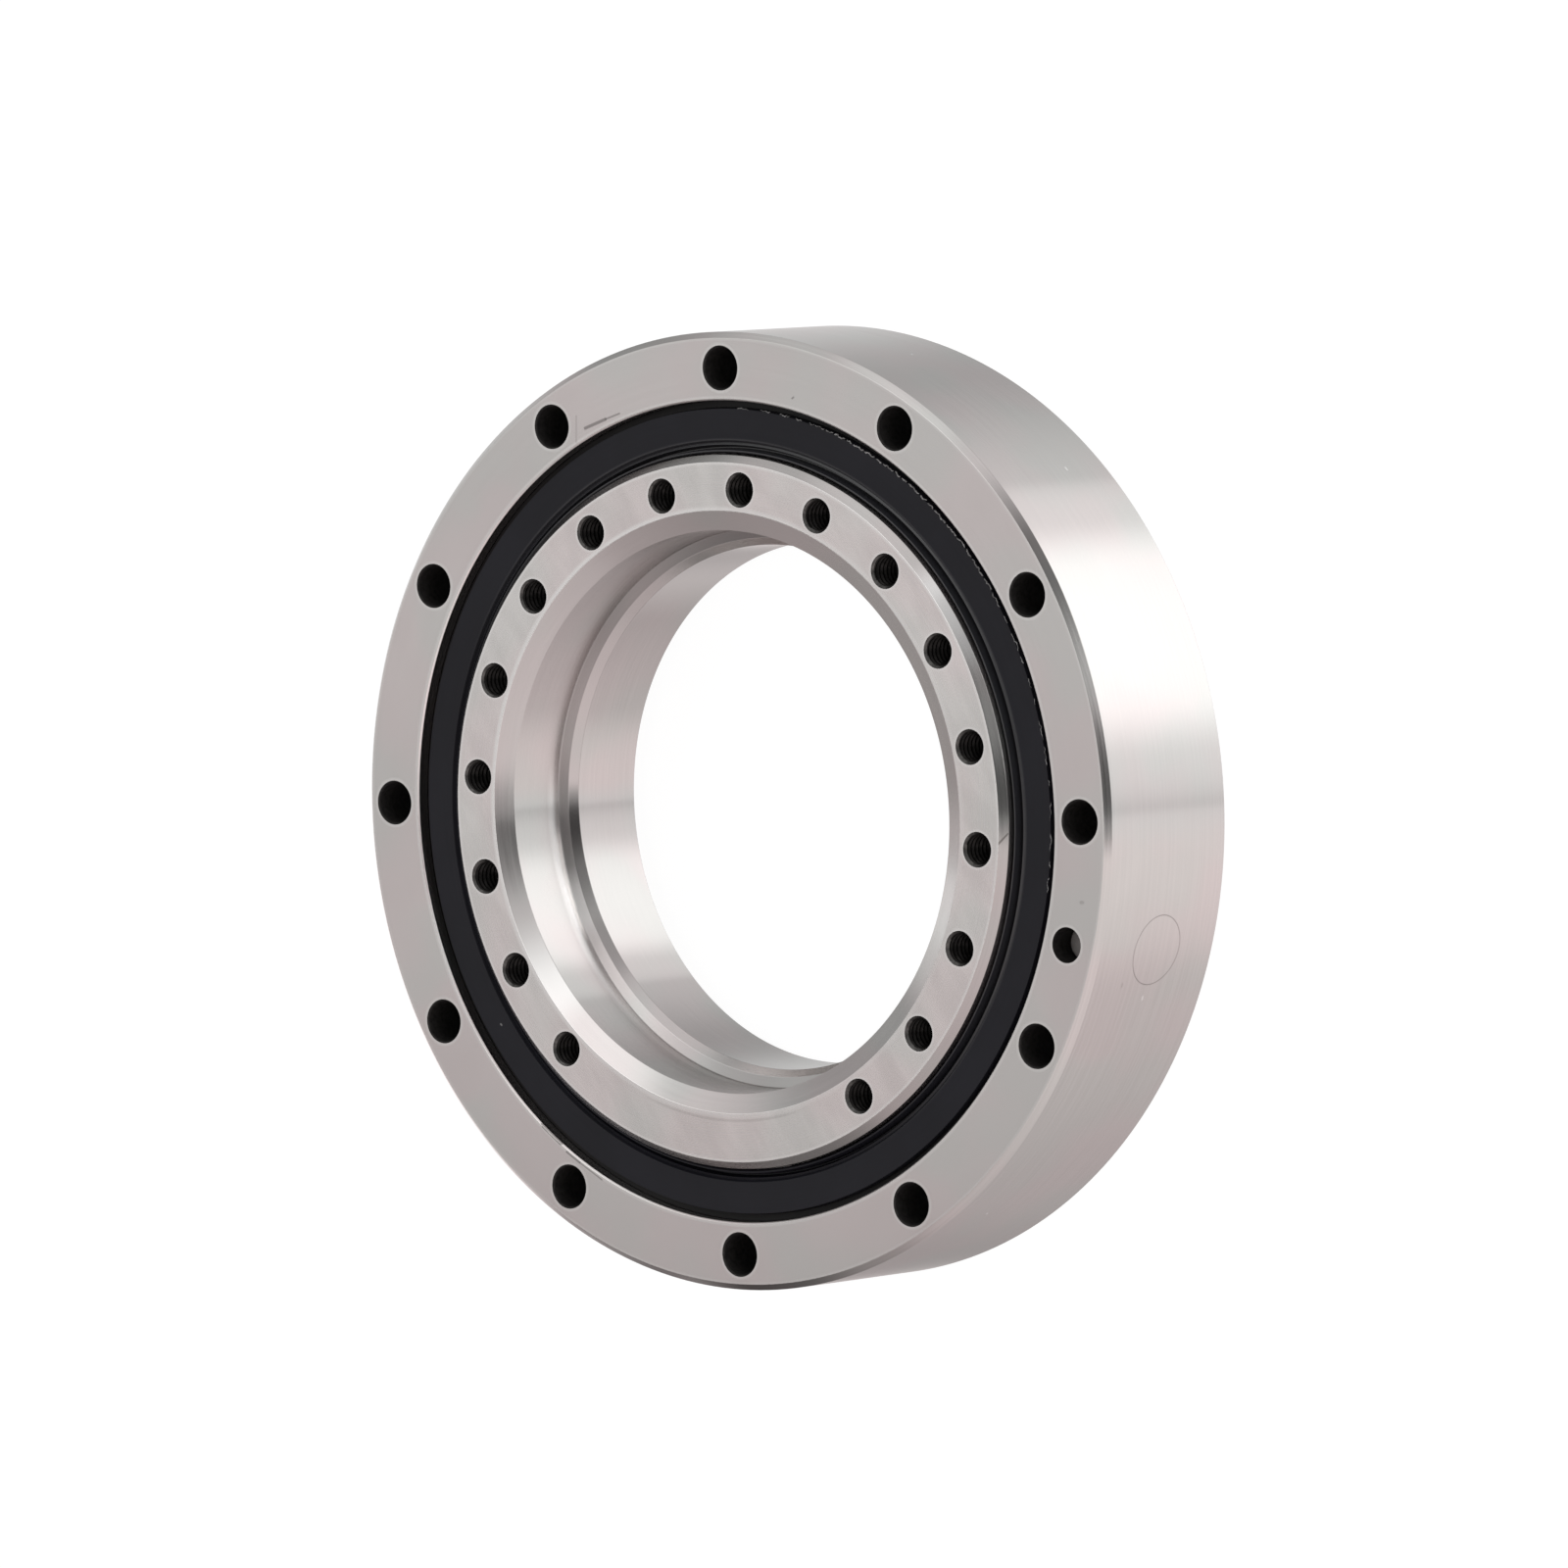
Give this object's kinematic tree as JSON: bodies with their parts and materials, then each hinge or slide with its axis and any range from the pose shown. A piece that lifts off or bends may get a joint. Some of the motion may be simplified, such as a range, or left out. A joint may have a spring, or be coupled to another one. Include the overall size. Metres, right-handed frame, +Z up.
{
  "type": "crossed roller bearing",
  "caption": "Crossed roller bearing: outer ring with through holes, stepped inner ring with tapped holes, a black lip seal each side.",
  "frame": {"origin": "on the bearing's axis, at the outer ring's back face", "axes": "+Z up the axis, out of the front face that has the tapped holes; +X half way between two tapped holes"},
  "size_m": [0.08, 0.08, 0.0168],
  "materials": {
    "ring_steel": "satin ground",
    "pin_steel": "satin turned",
    "roller_steel": "polished",
    "seal_rubber": "satin moulded",
    "spacer_plastic": "moulded"
  },
  "bodies": {
    "outer_ring": {"outer_ring": "ring_steel", "front_seal": "seal_rubber", "rear_seal": "seal_rubber", "loading_plug": "ring_steel", "taper_pin": "pin_steel"},
    "inner_ring": {"inner_ring": "ring_steel"},
    "roller_set": {"spacers": "spacer_plastic"},
    "roller_01": {"roller_01": "roller_steel"},
    "roller_02": {"roller_02": "roller_steel"},
    "roller_03": {"roller_03": "roller_steel"},
    "roller_04": {"roller_04": "roller_steel"},
    "roller_05": {"roller_05": "roller_steel"},
    "roller_06": {"roller_06": "roller_steel"},
    "roller_07": {"roller_07": "roller_steel"},
    "roller_08": {"roller_08": "roller_steel"},
    "roller_09": {"roller_09": "roller_steel"},
    "roller_10": {"roller_10": "roller_steel"},
    "roller_11": {"roller_11": "roller_steel"},
    "roller_12": {"roller_12": "roller_steel"},
    "roller_13": {"roller_13": "roller_steel"},
    "roller_14": {"roller_14": "roller_steel"},
    "roller_15": {"roller_15": "roller_steel"},
    "roller_16": {"roller_16": "roller_steel"},
    "roller_17": {"roller_17": "roller_steel"},
    "roller_18": {"roller_18": "roller_steel"},
    "roller_19": {"roller_19": "roller_steel"},
    "roller_20": {"roller_20": "roller_steel"},
    "roller_21": {"roller_21": "roller_steel"},
    "roller_22": {"roller_22": "roller_steel"},
    "roller_23": {"roller_23": "roller_steel"},
    "roller_24": {"roller_24": "roller_steel"},
    "roller_25": {"roller_25": "roller_steel"},
    "roller_26": {"roller_26": "roller_steel"},
    "roller_27": {"roller_27": "roller_steel"},
    "roller_28": {"roller_28": "roller_steel"},
    "roller_29": {"roller_29": "roller_steel"},
    "roller_30": {"roller_30": "roller_steel"},
    "roller_31": {"roller_31": "roller_steel"},
    "roller_32": {"roller_32": "roller_steel"},
    "roller_33": {"roller_33": "roller_steel"},
    "roller_34": {"roller_34": "roller_steel"},
    "roller_35": {"roller_35": "roller_steel"},
    "roller_36": {"roller_36": "roller_steel"},
    "roller_37": {"roller_37": "roller_steel"},
    "roller_38": {"roller_38": "roller_steel"},
    "roller_39": {"roller_39": "roller_steel"},
    "roller_40": {"roller_40": "roller_steel"}
  },
  "joints": [
    {"name": "inner_ring_turn", "type": "hinge", "parent": "outer_ring", "child": "inner_ring", "pos_m": [0, 0, 0.008], "axis": [0, 0, 1], "continuous": true},
    {"name": "roller_set_turn", "type": "hinge", "parent": "outer_ring", "child": "roller_set", "pos_m": [0, 0, 0.008], "axis": [0, 0, 1], "continuous": true},
    {"name": "roller_01_spin", "type": "hinge", "parent": "roller_set", "child": "roller_01", "pos_m": [0.0312, 0, 0.008], "axis": [0.7071, 0, 0.7071], "continuous": true},
    {"name": "roller_02_spin", "type": "hinge", "parent": "roller_set", "child": "roller_02", "pos_m": [0.03082, 0.00488, 0.008], "axis": [-0.6984, -0.1106, 0.7071], "continuous": true},
    {"name": "roller_03_spin", "type": "hinge", "parent": "roller_set", "child": "roller_03", "pos_m": [0.02967, 0.00964, 0.008], "axis": [0.6725, 0.2185, 0.7071], "continuous": true},
    {"name": "roller_04_spin", "type": "hinge", "parent": "roller_set", "child": "roller_04", "pos_m": [0.0278, 0.01416, 0.008], "axis": [-0.63, -0.321, 0.7071], "continuous": true},
    {"name": "roller_05_spin", "type": "hinge", "parent": "roller_set", "child": "roller_05", "pos_m": [0.02524, 0.01834, 0.008], "axis": [0.5721, 0.4156, 0.7071], "continuous": true},
    {"name": "roller_06_spin", "type": "hinge", "parent": "roller_set", "child": "roller_06", "pos_m": [0.02206, 0.02206, 0.008], "axis": [-0.5, -0.5, 0.7071], "continuous": true},
    {"name": "roller_07_spin", "type": "hinge", "parent": "roller_set", "child": "roller_07", "pos_m": [0.01834, 0.02524, 0.008], "axis": [0.4156, 0.5721, 0.7071], "continuous": true},
    {"name": "roller_08_spin", "type": "hinge", "parent": "roller_set", "child": "roller_08", "pos_m": [0.01416, 0.0278, 0.008], "axis": [-0.321, -0.63, 0.7071], "continuous": true},
    {"name": "roller_09_spin", "type": "hinge", "parent": "roller_set", "child": "roller_09", "pos_m": [0.00964, 0.02967, 0.008], "axis": [0.2185, 0.6725, 0.7071], "continuous": true},
    {"name": "roller_10_spin", "type": "hinge", "parent": "roller_set", "child": "roller_10", "pos_m": [0.00488, 0.03082, 0.008], "axis": [-0.1106, -0.6984, 0.7071], "continuous": true},
    {"name": "roller_11_spin", "type": "hinge", "parent": "roller_set", "child": "roller_11", "pos_m": [0, 0.0312, 0.008], "axis": [0, 0.7071, 0.7071], "continuous": true},
    {"name": "roller_12_spin", "type": "hinge", "parent": "roller_set", "child": "roller_12", "pos_m": [-0.00488, 0.03082, 0.008], "axis": [0.1106, -0.6984, 0.7071], "continuous": true},
    {"name": "roller_13_spin", "type": "hinge", "parent": "roller_set", "child": "roller_13", "pos_m": [-0.00964, 0.02967, 0.008], "axis": [-0.2185, 0.6725, 0.7071], "continuous": true},
    {"name": "roller_14_spin", "type": "hinge", "parent": "roller_set", "child": "roller_14", "pos_m": [-0.01416, 0.0278, 0.008], "axis": [0.321, -0.63, 0.7071], "continuous": true},
    {"name": "roller_15_spin", "type": "hinge", "parent": "roller_set", "child": "roller_15", "pos_m": [-0.01834, 0.02524, 0.008], "axis": [-0.4156, 0.5721, 0.7071], "continuous": true},
    {"name": "roller_16_spin", "type": "hinge", "parent": "roller_set", "child": "roller_16", "pos_m": [-0.02206, 0.02206, 0.008], "axis": [0.5, -0.5, 0.7071], "continuous": true},
    {"name": "roller_17_spin", "type": "hinge", "parent": "roller_set", "child": "roller_17", "pos_m": [-0.02524, 0.01834, 0.008], "axis": [-0.5721, 0.4156, 0.7071], "continuous": true},
    {"name": "roller_18_spin", "type": "hinge", "parent": "roller_set", "child": "roller_18", "pos_m": [-0.0278, 0.01416, 0.008], "axis": [0.63, -0.321, 0.7071], "continuous": true},
    {"name": "roller_19_spin", "type": "hinge", "parent": "roller_set", "child": "roller_19", "pos_m": [-0.02967, 0.00964, 0.008], "axis": [-0.6725, 0.2185, 0.7071], "continuous": true},
    {"name": "roller_20_spin", "type": "hinge", "parent": "roller_set", "child": "roller_20", "pos_m": [-0.03082, 0.00488, 0.008], "axis": [0.6984, -0.1106, 0.7071], "continuous": true},
    {"name": "roller_21_spin", "type": "hinge", "parent": "roller_set", "child": "roller_21", "pos_m": [-0.0312, 0, 0.008], "axis": [-0.7071, 0, 0.7071], "continuous": true},
    {"name": "roller_22_spin", "type": "hinge", "parent": "roller_set", "child": "roller_22", "pos_m": [-0.03082, -0.00488, 0.008], "axis": [0.6984, 0.1106, 0.7071], "continuous": true},
    {"name": "roller_23_spin", "type": "hinge", "parent": "roller_set", "child": "roller_23", "pos_m": [-0.02967, -0.00964, 0.008], "axis": [-0.6725, -0.2185, 0.7071], "continuous": true},
    {"name": "roller_24_spin", "type": "hinge", "parent": "roller_set", "child": "roller_24", "pos_m": [-0.0278, -0.01416, 0.008], "axis": [0.63, 0.321, 0.7071], "continuous": true},
    {"name": "roller_25_spin", "type": "hinge", "parent": "roller_set", "child": "roller_25", "pos_m": [-0.02524, -0.01834, 0.008], "axis": [-0.5721, -0.4156, 0.7071], "continuous": true},
    {"name": "roller_26_spin", "type": "hinge", "parent": "roller_set", "child": "roller_26", "pos_m": [-0.02206, -0.02206, 0.008], "axis": [0.5, 0.5, 0.7071], "continuous": true},
    {"name": "roller_27_spin", "type": "hinge", "parent": "roller_set", "child": "roller_27", "pos_m": [-0.01834, -0.02524, 0.008], "axis": [-0.4156, -0.5721, 0.7071], "continuous": true},
    {"name": "roller_28_spin", "type": "hinge", "parent": "roller_set", "child": "roller_28", "pos_m": [-0.01416, -0.0278, 0.008], "axis": [0.321, 0.63, 0.7071], "continuous": true},
    {"name": "roller_29_spin", "type": "hinge", "parent": "roller_set", "child": "roller_29", "pos_m": [-0.00964, -0.02967, 0.008], "axis": [-0.2185, -0.6725, 0.7071], "continuous": true},
    {"name": "roller_30_spin", "type": "hinge", "parent": "roller_set", "child": "roller_30", "pos_m": [-0.00488, -0.03082, 0.008], "axis": [0.1106, 0.6984, 0.7071], "continuous": true},
    {"name": "roller_31_spin", "type": "hinge", "parent": "roller_set", "child": "roller_31", "pos_m": [0, -0.0312, 0.008], "axis": [0, -0.7071, 0.7071], "continuous": true},
    {"name": "roller_32_spin", "type": "hinge", "parent": "roller_set", "child": "roller_32", "pos_m": [0.00488, -0.03082, 0.008], "axis": [-0.1106, 0.6984, 0.7071], "continuous": true},
    {"name": "roller_33_spin", "type": "hinge", "parent": "roller_set", "child": "roller_33", "pos_m": [0.00964, -0.02967, 0.008], "axis": [0.2185, -0.6725, 0.7071], "continuous": true},
    {"name": "roller_34_spin", "type": "hinge", "parent": "roller_set", "child": "roller_34", "pos_m": [0.01416, -0.0278, 0.008], "axis": [-0.321, 0.63, 0.7071], "continuous": true},
    {"name": "roller_35_spin", "type": "hinge", "parent": "roller_set", "child": "roller_35", "pos_m": [0.01834, -0.02524, 0.008], "axis": [0.4156, -0.5721, 0.7071], "continuous": true},
    {"name": "roller_36_spin", "type": "hinge", "parent": "roller_set", "child": "roller_36", "pos_m": [0.02206, -0.02206, 0.008], "axis": [-0.5, 0.5, 0.7071], "continuous": true},
    {"name": "roller_37_spin", "type": "hinge", "parent": "roller_set", "child": "roller_37", "pos_m": [0.02524, -0.01834, 0.008], "axis": [0.5721, -0.4156, 0.7071], "continuous": true},
    {"name": "roller_38_spin", "type": "hinge", "parent": "roller_set", "child": "roller_38", "pos_m": [0.0278, -0.01416, 0.008], "axis": [-0.63, 0.321, 0.7071], "continuous": true},
    {"name": "roller_39_spin", "type": "hinge", "parent": "roller_set", "child": "roller_39", "pos_m": [0.02967, -0.00964, 0.008], "axis": [0.6725, -0.2185, 0.7071], "continuous": true},
    {"name": "roller_40_spin", "type": "hinge", "parent": "roller_set", "child": "roller_40", "pos_m": [0.03082, -0.00488, 0.008], "axis": [-0.6984, 0.1106, 0.7071], "continuous": true}
  ],
  "couplings": [
    {"joint": "roller_set_turn", "follows": "inner_ring_turn", "ratio": 0.47734},
    {"joint": "roller_01_spin", "follows": "inner_ring_turn", "ratio": -7.784},
    {"joint": "roller_02_spin", "follows": "inner_ring_turn", "ratio": -7.784},
    {"joint": "roller_03_spin", "follows": "inner_ring_turn", "ratio": -7.784},
    {"joint": "roller_04_spin", "follows": "inner_ring_turn", "ratio": -7.784},
    {"joint": "roller_05_spin", "follows": "inner_ring_turn", "ratio": -7.784},
    {"joint": "roller_06_spin", "follows": "inner_ring_turn", "ratio": -7.784},
    {"joint": "roller_07_spin", "follows": "inner_ring_turn", "ratio": -7.784},
    {"joint": "roller_08_spin", "follows": "inner_ring_turn", "ratio": -7.784},
    {"joint": "roller_09_spin", "follows": "inner_ring_turn", "ratio": -7.784},
    {"joint": "roller_10_spin", "follows": "inner_ring_turn", "ratio": -7.784},
    {"joint": "roller_11_spin", "follows": "inner_ring_turn", "ratio": -7.784},
    {"joint": "roller_12_spin", "follows": "inner_ring_turn", "ratio": -7.784},
    {"joint": "roller_13_spin", "follows": "inner_ring_turn", "ratio": -7.784},
    {"joint": "roller_14_spin", "follows": "inner_ring_turn", "ratio": -7.784},
    {"joint": "roller_15_spin", "follows": "inner_ring_turn", "ratio": -7.784},
    {"joint": "roller_16_spin", "follows": "inner_ring_turn", "ratio": -7.784},
    {"joint": "roller_17_spin", "follows": "inner_ring_turn", "ratio": -7.784},
    {"joint": "roller_18_spin", "follows": "inner_ring_turn", "ratio": -7.784},
    {"joint": "roller_19_spin", "follows": "inner_ring_turn", "ratio": -7.784},
    {"joint": "roller_20_spin", "follows": "inner_ring_turn", "ratio": -7.784},
    {"joint": "roller_21_spin", "follows": "inner_ring_turn", "ratio": -7.784},
    {"joint": "roller_22_spin", "follows": "inner_ring_turn", "ratio": -7.784},
    {"joint": "roller_23_spin", "follows": "inner_ring_turn", "ratio": -7.784},
    {"joint": "roller_24_spin", "follows": "inner_ring_turn", "ratio": -7.784},
    {"joint": "roller_25_spin", "follows": "inner_ring_turn", "ratio": -7.784},
    {"joint": "roller_26_spin", "follows": "inner_ring_turn", "ratio": -7.784},
    {"joint": "roller_27_spin", "follows": "inner_ring_turn", "ratio": -7.784},
    {"joint": "roller_28_spin", "follows": "inner_ring_turn", "ratio": -7.784},
    {"joint": "roller_29_spin", "follows": "inner_ring_turn", "ratio": -7.784},
    {"joint": "roller_30_spin", "follows": "inner_ring_turn", "ratio": -7.784},
    {"joint": "roller_31_spin", "follows": "inner_ring_turn", "ratio": -7.784},
    {"joint": "roller_32_spin", "follows": "inner_ring_turn", "ratio": -7.784},
    {"joint": "roller_33_spin", "follows": "inner_ring_turn", "ratio": -7.784},
    {"joint": "roller_34_spin", "follows": "inner_ring_turn", "ratio": -7.784},
    {"joint": "roller_35_spin", "follows": "inner_ring_turn", "ratio": -7.784},
    {"joint": "roller_36_spin", "follows": "inner_ring_turn", "ratio": -7.784},
    {"joint": "roller_37_spin", "follows": "inner_ring_turn", "ratio": -7.784},
    {"joint": "roller_38_spin", "follows": "inner_ring_turn", "ratio": -7.784},
    {"joint": "roller_39_spin", "follows": "inner_ring_turn", "ratio": -7.784},
    {"joint": "roller_40_spin", "follows": "inner_ring_turn", "ratio": -7.784}
  ]
}
